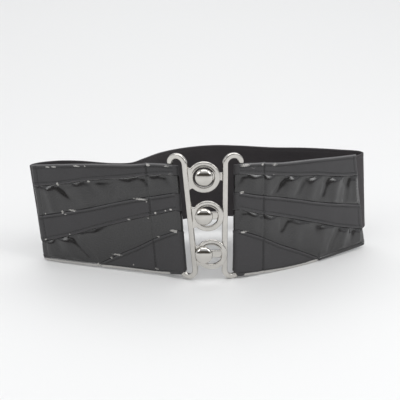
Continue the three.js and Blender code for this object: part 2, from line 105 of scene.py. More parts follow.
# Clasp
PLATE_HEIGHT = 124.5
BAR_WIDTH = 5.2
BAR_DEPTH = 3.8
BAR_SPACING = 15.4
BAR_SLACK = 3
EYE_PITCH = 38.2
EYE_OUTER = 30
EYE_HOLE = 19.4
EYE_DEPTH = 3.2
EYE_REACH = 16.3
WEB_HEIGHT = 19
WEB_FLARE = 3.3
WEB_DEPTH = 2.4
STUD_HEAD = 16.6
STUD_DOME = 4.8
STUD_RIM = 0.75
STUD_NECK = 4.8
STUD_REACH = 19.5
STUD_SIDES = 18
ARM_HEIGHT = 7.2
ARM_DEPTH = 2.6
ARM_DROP = 1.2
PLATE_CLEARANCE = 0.5
STUD_HEIGHT = 65.5
STUD_BAR_X = 23
STUD_BAR_Y = -0.6
EYE_OFFSET = 3.4
EYE_SHIFT = 3.9
EYE_LEAN = math.radians(5.3)
EYE_LIFT = 1.3

FOLD_INNER = BAR_DEPTH / 2 + BAR_CLEARANCE
FOLD_TURN = math.pi * (FOLD_INNER + LEATHER_WALL / 2)
FRAME_OUTER = (BAR_SPACING + BAR_WIDTH) / 2
FRAME_INNER = (BAR_SPACING - BAR_WIDTH) / 2
EYE_BAR_X = STUD_BAR_X - STUD_REACH + EYE_OFFSET - EYE_REACH
EYE_BAR_Y = STUD_BAR_Y - EYE_SHIFT

# The CAD model stands on its lower edge with its origin under the middle of its box. The studs' heads
# show where that origin lies in the measures above.
stud_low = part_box("stud_plate")[0] / MM
HEAD_LEFT = STUD_BAR_X - STUD_REACH - STUD_HEAD / 2 * math.cos(math.pi / STUD_SIDES)
HEAD_FRONT = STUD_BAR_Y - EYE_SHIFT - EYE_DEPTH / 2 - PLATE_CLEARANCE - STUD_DOME
ORIGIN = Vector((stud_low.x - HEAD_LEFT, stud_low.y - HEAD_FRONT, stud_low.z))
TO_FRAME = Matrix.Scale(MM, 4) @ Matrix.Translation(ORIGIN)


def table(names, *rows):
    """A list of rows with named columns."""
    keys = names.split()
    return [dict(zip(keys, row)) for row in rows]


# Seam heights across a panel, as shares of PANEL_HEIGHT. left and right are each panel's lower edge.
# along is 0 at the fold by the clasp and 1 at the side end.
SEAMS = table(
    "along left right d c b a top",
    (0.0, 0.045, 0.022, 0.434, 0.614, 0.76, 0.92, 1.0),
    (0.15, 0.02, 0.014, 0.344, 0.547, 0.704, 0.887, 0.985),
    (0.3, 0.018, 0.004, 0.236, 0.488, 0.656, 0.847, 0.956),
    (0.45, 0.019, 0.0, 0.14, 0.422, 0.6, 0.812, 0.94),
    (0.6, 0.014, 0.006, 0.036, 0.354, 0.54, 0.779, 0.922),
    (0.8, 0.008, 0.018, -0.1, 0.258, 0.47, 0.717, 0.891),
    (1.0, 0.006, 0.022, -0.24, 0.174, 0.401, 0.671, 0.858),
)

# Each panel in plan: degrees that it turns back from the front, and the lean of its top edge as
# shares of PANEL_HEIGHT.
LEFT_PLAN = table(
    "along heading lean_x lean_y",
    (0.0, 28, -0.071, -0.012),
    (0.2, 18, -0.081, 0),
    (0.6, 18, -0.1, 0.012),
    (1.0, 20, -0.121, 0.027),
)
RIGHT_PLAN = table(
    "along heading lean_x lean_y",
    (0.0, 20, 0, 0),
    (0.2, 27, -0.008, 0),
    (0.6, 33, -0.04, 0.004),
    (1.0, 40, -0.107, 0.013),
)

# Route of the elastic round the back: a share of the distance between the panels' ends, and a share
# of WAIST_DEPTH behind them.
BACK_ROUTE = table(
    "across depth",
    (-0.014, 0.17),
    (0.0, 0.315),
    (0.035, 0.37),
    (0.104, 0.317),
    (0.211, 0.115),
    (0.265, 0.115),
    (0.306, 0.346),
    (0.357, 0.663),
    (0.432, 0.907),
    (0.52, 0.994),
    (0.603, 0.93),
    (0.716, 0.741),
    (0.814, 0.665),
    (0.924, 0.487),
    (0.988, 0.354),
    (1.015, 0.2),
)

# Ridges and creases of the gathered patent strips. along is at the strip's mid height, slant is how far
# the top lies nearer the side end, rise is the height of a ridge or, below 0, the depth of a crease, and
# from_low and to_high are the shares of the strip's height that it crosses.
FOLDS = table(
    "side strip along slant rise width from_low to_high",
    ("right", "upper", 0.1, 5, 0.8, 6.0, 0.0, 1.0),
    ("right", "upper", 0.2, 7, 1.0, 5.0, 0.0, 1.0),
    ("right", "upper", 0.28, 15, -1.2, 3.0, 0.0, 0.9),
    ("right", "upper", 0.37, 11, 1.3, 6.0, 0.0, 1.0),
    ("right", "upper", 0.45, 13, -0.9, 3.0, 0.1, 0.8),
    ("right", "upper", 0.55, 12, 1.2, 6.5, 0.0, 1.0),
    ("right", "upper", 0.655, 13, -1.1, 3.2, 0.2, 1.0),
    ("right", "upper", 0.755, 8, 1.9, 6.5, 0.0, 1.0),
    ("right", "upper", 0.865, 8, -1.7, 3.4, 0.0, 1.0),
    ("right", "upper", 0.96, 3, 1.1, 4.0, 0.0, 1.0),
    ("right", "lower", 0.1, 4, 0.7, 6.0, 0.0, 1.0),
    ("right", "lower", 0.21, 10, 0.9, 6.0, 0.3, 1.0),
    ("right", "lower", 0.3, 13, -1.5, 3.2, 0.5, 1.0),
    ("right", "lower", 0.42, 15, 1.4, 7.5, 0.2, 1.0),
    ("right", "lower", 0.62, 15, 1.4, 6.5, 0.1, 1.0),
    ("right", "lower", 0.72, 17, -1.5, 3.4, 0.2, 1.0),
    ("right", "lower", 0.81, 12, 1.5, 4.8, 0.2, 1.0),
    ("right", "lower", 0.88, 8, -1.0, 2.8, 0.4, 1.0),
    ("right", "lower", 0.95, 5, 0.8, 4.0, 0.1, 1.0),
    ("left", "upper", 0.13, 6, 0.5, 7.0, 0.0, 1.0),
    ("left", "upper", 0.31, 9, 0.7, 8.0, 0.0, 1.0),
    ("left", "upper", 0.42, -8, -1.1, 3.6, 0.0, 0.55),
    ("left", "upper", 0.55, 14, -0.8, 4.5, 0.45, 1.0),
    ("left", "upper", 0.66, 12, 0.9, 6.0, 0.0, 1.0),
    ("left", "upper", 0.745, 20, -1.3, 3.4, 0.5, 1.0),
    ("left", "upper", 0.89, 4, 1.5, 4.4, 0.0, 1.0),
    ("left", "lower", 0.56, 18, 0.8, 7.0, 0.1, 1.0),
    ("left", "lower", 0.685, 26, -1.9, 3.6, 0.05, 1.0),
    ("left", "lower", 0.79, 16, 1.3, 4.8, 0.2, 1.0),
    ("left", "lower", 0.865, 8, -0.8, 2.8, 0.3, 1.0),
    ("left", "lower", 0.93, 4, 1.0, 4.0, 0.1, 1.0),
)

# Tucks where a patent strip is drawn in under the seam above it: half width, depth, and how far down
# each one reaches.
TUCKS = table(
    "side strip along width depth drop",
    ("right", "upper", 0.03, 4.0, 1.2, 11.0),
    ("right", "upper", 0.32, 6.5, 1.4, 7.0),
    ("right", "upper", 0.545, 6.5, 1.4, 5.5),
    ("right", "upper", 0.7, 6.0, 1.5, 7.0),
    ("right", "upper", 0.885, 5.0, 1.8, 10.0),
    ("right", "lower", 0.03, 4.0, 1.0, 11.0),
    ("right", "lower", 0.165, 3.0, 1.0, 4.0),
    ("right", "lower", 0.335, 6.0, 1.7, 9.0),
    ("right", "lower", 0.6, 6.5, 1.5, 8.0),
    ("right", "lower", 0.9, 4.0, 1.5, 8.0),
    ("left", "upper", 0.785, 8.5, 1.5, 7.0),
    ("left", "upper", 0.5, 12.0, 1.5, 8.0),
    ("left", "upper", 0.215, 3.5, 1.2, 12.0),
    ("left", "upper", 0.06, 5.0, 1.3, 11.0),
    ("left", "lower", 0.76, 4.0, 1.2, 5.0),
)

# How full each patent strip is from the clasp to its side end, as shares of PUFF_RISE
FULLNESS = {
    ("left", "upper"): (0.6, 1.0),
    ("left", "lower"): (0.1, 1.0),
    ("right", "upper"): (0.8, 1.2),
    ("right", "lower"): (0.8, 1.1),
}

# Peeled chips. along and height are shares of the panel's length and height, long and tall are the
# chipped patch's half sizes in millimetres, and amount is how much of it has peeled.
CHIPS = table(
    "side along height long tall amount",
    ("left", 0.875, 0.858, 2.4, 1.0, 0.9),
    ("left", 0.83, 0.866, 2.6, 1.1, 0.9),
    ("left", 0.665, 0.897, 4.0, 1.0, 0.8),
    ("left", 0.605, 0.905, 1.0, 1.0, 0.8),
    ("left", 0.17, 0.972, 2.6, 1.6, 0.8),
    ("left", 0.04, 0.985, 5.0, 1.4, 0.6),
    ("left", 0.82, 0.716, 1.4, 2.2, 0.9),
    ("left", 0.595, 0.772, 1.6, 1.2, 0.9),
    ("left", 0.94, 0.436, 1.0, 1.0, 0.8),
    ("left", 0.815, 0.471, 1.3, 2.0, 0.9),
    ("left", 0.74, 0.497, 5.5, 1.6, 0.7),
    ("left", 0.795, 0.455, 1.6, 1.0, 0.7),
    ("left", 0.245, 0.667, 9.0, 1.2, 0.75),
    ("left", 0.205, 0.65, 1.2, 0.8, 0.8),
    ("left", 0.965, 0.2, 2.0, 1.2, 0.7),
    ("left", 0.785, 0.279, 1.0, 0.8, 0.8),
    ("left", 0.34, 0.476, 2.0, 1.2, 0.8),
    ("left", 0.205, 0.505, 1.0, 0.8, 0.8),
    ("left", 0.15, 0.56, 1.4, 1.2, 0.9),
    ("left", 0.075, 0.595, 1.0, 0.8, 0.9),
    ("left", 0.035, 0.612, 1.6, 1.0, 0.9),
    ("left", 0.1, 0.52, 1.6, 1.0, 0.5),
    ("left", 0.02, 0.425, 6.0, 1.6, 0.85),
    ("left", 0.145, 0.352, 2.0, 0.9, 0.8),
    ("left", 0.46, 0.145, 7.0, 1.2, 0.75),
    ("left", 0.5, 0.11, 1.2, 1.2, 0.9),
    ("left", 0.02, 0.16, 1.0, 0.8, 0.4),
    ("left", 0.605, 0.03, 1.2, 2.2, 0.9),
    ("left", 0.345, 0.07, 1.0, 1.2, 0.7),
    ("left", 0.18, 0.06, 4.0, 1.4, 0.6),
    ("left", 0.095, 0.9, 1.4, 1.2, 0.5),
    ("left", 0.02, 0.92, 2.4, 2.6, 0.5),
    ("right", 0.04, 0.985, 6.0, 2.0, 0.75),
    ("right", 0.16, 0.972, 1.6, 1.4, 0.8),
    ("right", 0.25, 0.952, 4.4, 3.0, 0.6),
    ("right", 0.245, 0.868, 1.2, 0.8, 0.7),
    ("right", 0.02, 0.757, 2.4, 1.4, 0.9),
    ("right", 0.2, 0.7, 3.4, 0.8, 0.5),
    ("right", 0.035, 0.412, 5.0, 1.2, 0.8),
    ("right", 0.345, 0.914, 5.5, 0.7, 0.45),
    ("right", 0.7, 0.503, 14.0, 0.7, 0.35),
    ("right", 0.1, 0.955, 6.0, 2.0, 0.45),
)

# Stretches of the lower edge where the black skin has worn off, as shares of the panel's length
PALE_EDGES = {"left": (0.06, 1.02), "right": (0.02, 0.62)}

# How far in from an edge the painted highlight reaches, and its share on the left panel, in more shade
HIGHLIGHT_FROM = 0.5
HIGHLIGHT_TO = 1.5
LEFT_HIGHLIGHT_SHARE = 0.8

# Spacing of the fine meshes, in millimetres, and numbers of steps
PATH_STEP = 0.85
EDGE_ZONE = 5.2
EDGE_SHARE = 0.29
ELASTIC_STEP = 1.5
ELASTIC_COLUMNS = 40
CASTING_VOXEL = 0.33
ROUND_STEPS = 64
BEND_STEPS = 20


def ramp(value, start, end):
    """Smooth step from 0 at start to 1 at end."""
    t = min(max((value - start) / (end - start), 0), 1)
    return t * t * (3 - 2 * t)


def lerp(start, end, share):
    """The value at a share of the way from start to end."""
    return start + (end - start) * share


def bell(distance, width):
    """1 at the middle of a ridge or groove, falling off smoothly to both sides."""
    return math.exp(-((distance / width) ** 2))


def column(rows, key, along):
    """Smooth value of one column of a table at a place along it, straight beyond its ends."""
    last = len(rows) - 1

    def slope(i):
        before, after = rows[max(i - 1, 0)], rows[min(i + 1, last)]
        return (after[key] - before[key]) / (after["along"] - before["along"])

    if along <= rows[0]["along"]:
        return rows[0][key] + slope(0) * (along - rows[0]["along"])
    if along >= rows[last]["along"]:
        return rows[last][key] + slope(last) * (along - rows[last]["along"])
    i = max(k for k in range(last) if rows[k]["along"] <= along)
    span = rows[i + 1]["along"] - rows[i]["along"]
    t = (along - rows[i]["along"]) / span
    rise = rows[i + 1][key] - rows[i][key]
    enter = slope(i) * span - rise
    leave = slope(i + 1) * span - rise
    return rows[i][key] + rise * t + t * (1 - t) * (enter * (1 - t) - leave * t)


def directions(side, along):
    """A panel's directions at a place along it: away from the clasp, outwards, and its lean."""
    heading = math.radians(column(side.plan, "heading", along))
    away = Vector((side.hand * math.cos(heading), math.sin(heading), 0))
    out = Vector((side.hand * math.sin(heading), -math.cos(heading), 0))
    lean = Vector((column(side.plan, "lean_x", along), column(side.plan, "lean_y", along), 0))
    return away, out, lean


def front_place(side, length):
    """Foot of the panel's inner face at a length from the fold, with its outward direction and lean."""
    steps = 24
    place = side.start.copy()
    for i in range(steps):
        middle = (i + 0.5) / steps * length
        place += directions(side, middle / side.length)[0] * (length / steps)
    _, out, lean = directions(side, length / side.length)
    return place, out, lean


def leather_place(side, path):
    """The leather's path: 0 or more on the front, then round the bar, then the turned-back layer."""
    if path >= 0:
        return front_place(side, path)
    away, fold_out, lean = directions(side, 0)
    turned = -path
    if turned < FOLD_TURN:
        angle = turned / FOLD_TURN * math.pi
        centre = side.start - fold_out * FOLD_INNER
        out = fold_out * math.cos(angle) - away * math.sin(angle)
        return centre + out * FOLD_INNER, out, lean
    place, out, lean = front_place(side, turned - FOLD_TURN)
    closing = ramp(turned - FOLD_TURN, BAR_SLACK + BAR_WIDTH, CHANNEL_DEPTH)
    return place - out * lerp(2 * FOLD_INNER, LAYER_GAP, closing), -out, lean


def make_side(name, hand, length, plan, bar_x, bar_y, lift):
    """One side of the belt. hand is -1 on the left and 1 on the right."""
    side = SimpleNamespace(name=name, hand=hand, length=length, plan=plan, lift=lift)
    away, out, lean = directions(side, 0)
    folded_bar = Vector((bar_x, bar_y, 0)) + away * BAR_SPACING
    side.start = folded_bar - away * BAR_SLACK + out * FOLD_INNER - lean * STUD_HEIGHT
    side.back_end = -(FOLD_TURN + CHANNEL_DEPTH + CHANNEL_MARGIN)
    side.tip = bottom_strip_tip(side)
    return side


def seam_heights(side, path):
    """Seam heights at a place on the path. The turned-back layer is a little lower."""
    along = max(path, 0) / side.length
    drop = BACK_DROP * ramp(-path / FOLD_TURN, 0, 1)
    seams = {key: PANEL_HEIGHT * column(SEAMS, key, along) - drop for key in "dcba"}
    seams["top"] = PANEL_HEIGHT * column(SEAMS, "top", along) - drop
    bottom = max(PANEL_HEIGHT * column(SEAMS, side.name, along), 0)
    if path < 0:
        reach = BAR_SLACK + FOLD_INNER / 2
        turn = FRAME_OUTER - math.sqrt(FRAME_INNER**2 - (BAR_SPACING / 2 - reach) ** 2)
        raised = max(bottom, side.lift + turn + BAR_CLEARANCE)
        bottom = lerp(bottom, raised, ramp(-path, 0, FOLD_TURN / 5))
    corner = path - side.length + END_CORNER
    if corner > 0:
        bottom += END_CORNER - math.sqrt(max(END_CORNER**2 - corner**2, 0))
    return SimpleNamespace(bottom=bottom, **seams)


def bottom_strip_tip(side):
    """The length from the fold at which the bottom strip has narrowed to its tip."""
    length = 0
    while length < side.length:
        seams = seam_heights(side, length)
        if seams.d - seams.bottom < TIP_HEIGHT:
            break
        length += TIP_LENGTH / 4
    return length


LEFT = make_side("left", -1, LEFT_PANEL_LENGTH, LEFT_PLAN, EYE_BAR_X, EYE_BAR_Y, EYE_LIFT)
RIGHT = make_side("right", 1, RIGHT_PANEL_LENGTH, RIGHT_PLAN, STUD_BAR_X, STUD_BAR_Y, 0)


def round_edge(distance, radius):
    """How far a rounded edge falls back at a distance from it."""
    reach = min(max(distance / radius, 0), 1)
    return radius * (1 - math.sqrt(1 - (1 - reach) ** 2))


def turned_edge(distance, width, rise, shoulder, groove, groove_width):
    """Padded leather from an edge up to a row of stitches that is pulled in."""
    raised = rise * (1 - ramp(distance, width - shoulder, width + 0.4))
    return raised - groove * bell(distance - width, groove_width) - round_edge(distance, EDGE_ROUND)


def turned_lip(distance):
    """A matte strip's seam edge, which laps over its neighbour."""
    return turned_edge(distance, SEAM_LIP, LIP_RISE, shoulder=0.8, groove=0.35, groove_width=0.5)


def turned_hem(distance):
    """A panel's own edge, with the leather turned in."""
    return turned_edge(distance, HEM_WIDTH, HEM_RISE, shoulder=0.6, groove=0.4, groove_width=0.55)


def quiet_wave(side, path, height, size, rise):
    """Slow unevenness of a soft surface."""
    apart = 7.3 * side.hand
    return rise * noise.noise(Vector((path / size, height / size, apart)))


def channel_groove(side, path):
    """The stitched line that holds the leather round the bar, and the one at the side end."""
    return 0.75 * bell(path - CHANNEL_DEPTH, 1.0) + 0.35 * bell(path - side.length + END_SEAM, 0.7)


def gather(side, strip, path, share):
    """How far a gathered patent strip stands out at a place along it and a share of its height."""
    if path <= -2:
        return 0
    near_clasp, near_end = FULLNESS[side.name, strip]
    full = lerp(near_clasp, near_end, ramp(path / side.length, 0.3, 0.8))
    rise = PUFF_RISE * full
    for fold in FOLDS:
        if fold["side"] != side.name or fold["strip"] != strip:
            continue
        beside = path - fold["along"] * side.length - fold["slant"] * (share - 0.5)
        if abs(beside) > 3 * fold["width"]:
            continue
        low = ramp(share, fold["from_low"] - 0.25, fold["from_low"] + 0.2)
        high = 1 - ramp(share, fold["to_high"] - 0.1, fold["to_high"] + 0.3)
        rise += fold["rise"] * low * high * bell(beside, fold["width"])
    rise += quiet_wave(side, path, share * 20 + path * 0.3, 11, 0.45 * full)
    ends = ramp(path, -2, 5) * ramp(side.length - path, 0, 7)
    return max(rise, -0.3) * ends


def tucked_in(side, strip, path, below):
    """How far a patent strip is drawn in at a distance below the seam above it."""
    depth = 0
    for tuck in TUCKS:
        if tuck["side"] == side.name and tuck["strip"] == strip:
            beside = path - tuck["along"] * side.length + below * TUCK_SLANT
            depth = max(depth, tuck["depth"] * bell(beside, tuck["width"]) * bell(below, tuck["drop"]))
    return depth


def matte_outer(side, path, z, lower, upper, low_edge, high_edge):
    """How far a matte strip's outer face stands out."""
    scale = min(1, (upper - lower) / NARROW_STRIP)
    relief = low_edge((z - lower) / scale) + high_edge((upper - z) / scale)
    outer = LEATHER_WALL + relief * scale * lerp(0.35, 1, ramp(path, -3, 3))
    outer += quiet_wave(side, path, z, 19, 0.3) + quiet_wave(side, path, z, 6, 0.08)
    return outer - channel_groove(side, path)


def matte_inner(z, lower, upper, low_lip, high_lip):
    """How far out a matte strip's inner face lies: raised where it laps over its neighbours."""
    reach = SEAM_LIP + LAYER_GAP
    low = low_lip * (1 - ramp(z - lower, reach, reach + 1))
    high = high_lip * (1 - ramp(upper - z, reach, reach + 1))
    return LINING + (LIP_INNER - LINING) * max(low, high)


def patent_outer(side, strip, path, z, lower, upper, hem):
    """How far a patent strip's outer face stands out: flat under its neighbours' lips, else gathered.
    hem is 1 where its lower edge is the panel's own."""
    edge = upper - z if hem else min(z - lower, upper - z)
    hidden = -0.6
    if edge < hidden:
        return UNDER_LIP
    share = (z - lower) / (upper - lower)
    step = (SEAM_LEVEL - UNDER_LIP) * ramp(edge, hidden, 0.5)
    swell = LEATHER_WALL - SEAM_LEVEL + gather(side, strip, path, share)
    outer = UNDER_LIP + step + swell * math.sin(math.pi / 2 * min(max(edge, 0) / SWELL_WIDTH, 1))
    outer = max(outer - tucked_in(side, strip, path, max(upper - z, 0)) * ramp(edge, 0, 3), UNDER_LIP)
    if hem:
        low = z - lower
        outer = lerp(LEATHER_WALL + hem * turned_hem(low), outer, ramp(low, HEM_WIDTH, HEM_WIDTH + 4))
    return max(outer - channel_groove(side, path), UNDER_LIP)


def edge_highlight_level(side, path, above, below, rub_and_highlight):
    """How strong the painted highlight is along a strip's lower and upper edge and at the panel's side end.
    """
    low_highlight, high_highlight, end_highlight = rub_and_highlight
    # Painted highlight: the skin is lightened close to each edge, where the edge catches the light.
    low = low_highlight * (1 - ramp(below, HIGHLIGHT_FROM, HIGHLIGHT_TO))
    high = high_highlight * (1 - ramp(above, HIGHLIGHT_FROM, HIGHLIGHT_TO))
    end = end_highlight * (1 - ramp(side.length - path, HIGHLIGHT_FROM, HIGHLIGHT_TO))
    # The left panel lies in more shade, so its painted highlight is dimmer.
    return max(low, high, end) * (1 if side is RIGHT else LEFT_HIGHLIGHT_SHARE)


def groove_shade_level(side, path, above, below, sewn):
    """Painted shade in a row of stitches: beside the edges of a sewn strip, or across the panel."""
    beside = min(abs(above - SEAM_LIP), abs(below - SEAM_LIP))
    along_seam = 0.7 * bell(beside, 0.6) if sewn else 0
    channel = bell(path - CHANNEL_DEPTH, 0.75)
    end = 0.6 * bell(path - side.length + END_SEAM, 0.6)
    return max(along_seam, channel, end)


def spread(share, height, zone):
    """Height above a strip's lower edge of a column of its mesh, with more columns at the edges."""
    zone = min(zone, 0.4 * height)
    if share < EDGE_SHARE:
        return zone * share / EDGE_SHARE
    if share > 1 - EDGE_SHARE:
        return height - zone * (1 - share) / EDGE_SHARE
    return zone + (height - 2 * zone) * (share - EDGE_SHARE) / (1 - 2 * EDGE_SHARE)


def peeled(side, path, height):
    """How much the skin has peeled at a place on a panel."""
    most = 0
    for chip in CHIPS:
        if chip["side"] != side.name:
            continue
        dx = (path - chip["along"] * side.length) / chip["long"]
        dz = (height - chip["height"] * PANEL_HEIGHT) / chip["tall"]
        most = max(most, chip["amount"] * math.exp(-(dx**2 + dz**2) / 1.4))
    return most


def new_object(name, data):
    """A new object in the scene."""
    thing = bpy.data.objects.new(name, data)
    bpy.context.scene.collection.objects.link(thing)
    return thing


def mesh_from(bm, name):
    """A mesh made of a finished bmesh."""
    mesh = bpy.data.meshes.new(name)
    bm.to_mesh(mesh)
    bm.free()
    return mesh


def piece_from(bm, name, material, node=None, sharp=None):
    """Moves a mesh made in millimetres to its place in the frame and makes it a piece of the belt. node
    is the solid that it replaces, and edges that turn by more than sharp degrees stay sharp."""
    bm.transform(TO_FRAME)
    for face in bm.faces:
        face.smooth = True
    if sharp is not None:
        for edge in bm.edges:
            if len(edge.link_faces) == 2:
                edge.smooth = edge.calc_face_angle() < math.radians(sharp)
    piece = new_object(name, mesh_from(bm, name))
    piece.data.materials.append(material)
    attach(piece, "root")
    if node:
        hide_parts(node)
    return piece


def lay_cloth(bm, flat_of):
    """Gives a mesh the UV map "cloth", which tells each point's place on the flat sheet, in metres."""
    cloth = bm.loops.layers.uv.new("cloth")
    for face in bm.faces:
        for loop in face.loops:
            loop[cloth].uv = Vector(flat_of(loop.vert)) * MM


def end_reach(side, path, z):
    """The side end isn't cut straight: it reaches further at the foot, with a slight wave."""
    foot = FOOT_REACH[side.name] * (1 - ramp(z, 0, 0.75 * PANEL_HEIGHT)) - END_TRIM
    wave = END_WAVE * math.sin(z / END_WAVE_PITCH)
    return directions(side, 1)[0] * (foot + wave) * ramp(path / side.length, 0.72, 1)


def strip_sheet(side, rows_from, rows_to, columns, section, rub_and_highlight, sewn):
    """A leather strip, from a grid that is extruded into an inner and an outer face. section gives the
    strip's lower and upper edge, and functions for how far out its outer and inner faces lie. sewn
    strips have a row of stitches beside their edges."""
    bm = bmesh.new()
    rows = round(abs(rows_to - rows_from) / PATH_STEP)
    bmesh.ops.create_grid(bm, x_segments=rows, y_segments=columns, size=0.5)
    path_of = bm.verts.layers.float.new("path")
    height_of = bm.verts.layers.float.new("height")
    wear = bm.verts.layers.float.new("peeled")
    pale = bm.verts.layers.float.new("pale_edge")
    edge_highlight = bm.verts.layers.float.new("edge_highlight")
    groove_shade = bm.verts.layers.float.new("groove_shade")
    pale_from, pale_to = PALE_EDGES[side.name]
    stations = {}
    for vert in bm.verts:
        path = lerp(rows_from, rows_to, vert.co.x + 0.5)
        vert[path_of] = path
        key = vert[path_of]
        if key not in stations:
            stations[key] = (leather_place(side, path), section(path))
        lower, upper = stations[key][1][:2]
        z = lower + spread(vert.co.y + 0.5, upper - lower, EDGE_ZONE)
        vert[height_of] = z
        if path > 0:
            low = z - seam_heights(side, path).bottom
            share = path / side.length
            wear_and_highlight = ramp(share, pale_from, pale_from + 0.04) * ramp(pale_to - share, 0, 0.05)
            vert[pale] = (1 - ramp(low, 1.9, 2.9)) * wear_and_highlight
            vert[wear] = peeled(side, path, z)
            # Painted highlight along the strip's edges and at its side end.
            vert[edge_highlight] = edge_highlight_level(side, path, upper - z, z - lower, rub_and_highlight)
            # Painted shade in the stitch grooves.
            vert[groove_shade] = groove_shade_level(side, path, upper - z, z - lower, sewn)
    inner = list(bm.verts)
    made = bmesh.ops.extrude_face_region(bm, geom=bm.faces[:], use_keep_orig=True)["geom"]
    outer = {item for item in made if isinstance(item, bmesh.types.BMVert)}
    for vert in inner:
        vert[wear] = vert[edge_highlight] = vert[groove_shade] = 0
    for vert in [*inner, *outer]:
        (place, out, lean), (_, _, outer_at, inner_at) = stations[vert[path_of]]
        z = vert[height_of]
        path = vert[path_of]
        place = place + end_reach(side, path, z)
        offset = inner_at(z)
        if vert in outer:
            end = round_edge(side.length - path, END_ROUND) + round_edge(path - side.back_end, END_ROUND)
            offset = max(outer_at(z) - end, offset + LEAST_WALL)
        vert.co = place + out * offset + lean * z + Vector((0, 0, z))
    lay_cloth(bm, lambda vert: (vert[path_of], vert[height_of]))
    bmesh.ops.recalc_face_normals(bm, faces=bm.faces)
    return bm


def panel(side, matte, patent):
    """The five strips of a panel, from its top edge down. Each row gives the columns of its mesh, and how
    strong its painted highlight is along its lower edge, its upper edge and at the side end."""
    whole = (side.length, side.back_end)

    def matte_section(path, lower, upper, low_edge, high_edge):
        lips = (low_edge is turned_lip, high_edge is turned_lip)
        return (
            lower,
            upper,
            lambda z: matte_outer(side, path, z, lower, upper, low_edge, high_edge),
            lambda z: matte_inner(z, lower, upper, *lips),
        )

    def top(path):
        seams = seam_heights(side, path)
        return matte_section(path, seams.a, seams.top, turned_lip, turned_hem)

    def middle(path):
        seams = seam_heights(side, path)
        return matte_section(path, seams.c, seams.b, turned_lip, turned_lip)

    def bottom(path):
        seams = seam_heights(side, path)
        return matte_section(path, seams.bottom, seams.d, turned_hem, turned_lip)

    margin = SEAM_LIP - LAYER_GAP

    def upper_patent(path):
        seams = seam_heights(side, path)
        return (
            seams.b - margin,
            seams.a + margin,
            lambda z: patent_outer(side, "upper", path, z, seams.b, seams.a, 0),
            lambda z: LINING,
        )

    def lower_patent(path):
        seams = seam_heights(side, path)
        lip = min(SEAM_LIP, 0.3 * (seams.d - seams.bottom))
        hem = ramp(path, side.tip, side.tip + TIP_LENGTH)
        lower = lerp(seams.d, seams.bottom, hem)
        start = lerp(seams.d - lip + LAYER_GAP, seams.bottom, hem)
        return (
            start,
            seams.c + margin,
            lambda z: patent_outer(side, "lower", path, z, lower, seams.c, hem),
            lambda z: LINING,
        )

    lapped = (side.tip, side.back_end)
    for name, material, slot, span, columns, section, rub_and_highlight in (
        ("top_strip", matte, "matte_leather", whole, 34, top, (0.45, 1.0, 0.8)),
        ("upper_patent", patent, "patent_leather", whole, 40, upper_patent, (0, 0, 0.5)),
        ("middle_strip", matte, "matte_leather", whole, 36, middle, (0.25, 0.4, 0.5)),
        ("lower_patent", patent, "patent_leather", whole, 44, lower_patent, (0, 0, 0.3)),
        ("bottom_strip", matte, "matte_leather", lapped, 40, bottom, (0, 0.3, 0)),
    ):
        node = f"{side.name}_{name}"
        sheet = strip_sheet(side, *span, columns, section, rub_and_highlight, sewn=material is matte)
        piece_from(sheet, f"{node}_leather", material, node, sharp=50)


# Stitches, in millimetres
STITCH_PITCH = 3.1
STITCH_LONG = 2.3
STITCH_WIDE = 0.5
STITCH_DEEP = 0.4
STITCH_SINK = 0.15
STITCH_PROUD = 0.1


def stitch(bm, place, along, out):
    """One stitch: a short round thread that lies on the leather."""
    across = out.cross(along)
    turn = Matrix((along, across, out)).transposed().to_4x4()
    size = Matrix.Diagonal((STITCH_LONG / 2, STITCH_WIDE / 2, STITCH_DEEP / 2, 1))
    bmesh.ops.create_uvsphere(
        bm, u_segments=8, v_segments=5, radius=1, matrix=Matrix.Translation(place) @ turn @ size
    )


def leather_point(side, path, z, outer):
    """A point at a height and distance out on a panel, and the outward direction there."""
    place, out, lean = leather_place(side, path)
    place = place + end_reach(side, path, z)
    return place + out * outer + lean * z + Vector((0, 0, z)), out


def sew(bm, side, run):
    """Sews a row of stitches along a run of points, each a path, a height and a distance out."""
    points = [leather_point(side, *stop) for stop in run]
    left_over = STITCH_PITCH / 2
    for (start, out), (end, _) in zip(points, points[1:]):
        length = (end - start).length
        along = (end - start).normalized()
        square_out = (out - along * out.dot(along)).normalized()
        while left_over < length:
            stitch(bm, start + along * left_over, along, square_out)
            left_over += STITCH_PITCH
        left_over -= length


def panel_stitching(side, thread):
    """The rows of stitches of a panel: along its seams and hems, down the channel and down the end."""
    bm = bmesh.new()
    depth = LEATHER_WALL - STITCH_SINK
    steps = 60

    def row(height_at, stop):
        run = [lerp(1, stop, i / steps) for i in range(steps + 1)]
        sew(bm, side, [(path, height_at(seam_heights(side, path)), depth) for path in run])

    end = side.length - 1
    tip = side.tip - 12
    row(lambda seams: seams.top - HEM_WIDTH, end)
    row(lambda seams: seams.a + SEAM_LIP, end)
    row(lambda seams: seams.b - SEAM_LIP, end)
    row(lambda seams: seams.c + SEAM_LIP, end)
    row(lambda seams: seams.d - SEAM_LIP, tip)
    row(lambda seams: seams.bottom + HEM_WIDTH, tip)
    for path in (CHANNEL_DEPTH, side.length - END_SEAM):
        seams = seam_heights(side, path)
        heights = [lerp(seams.bottom + 2, seams.top - 2, i / steps) for i in range(steps + 1)]
        sew(bm, side, [(path, z, surface_at(side, path, z) + STITCH_PROUD) for z in heights])
    piece_from(bm, f"{side.name}_stitching", thread)


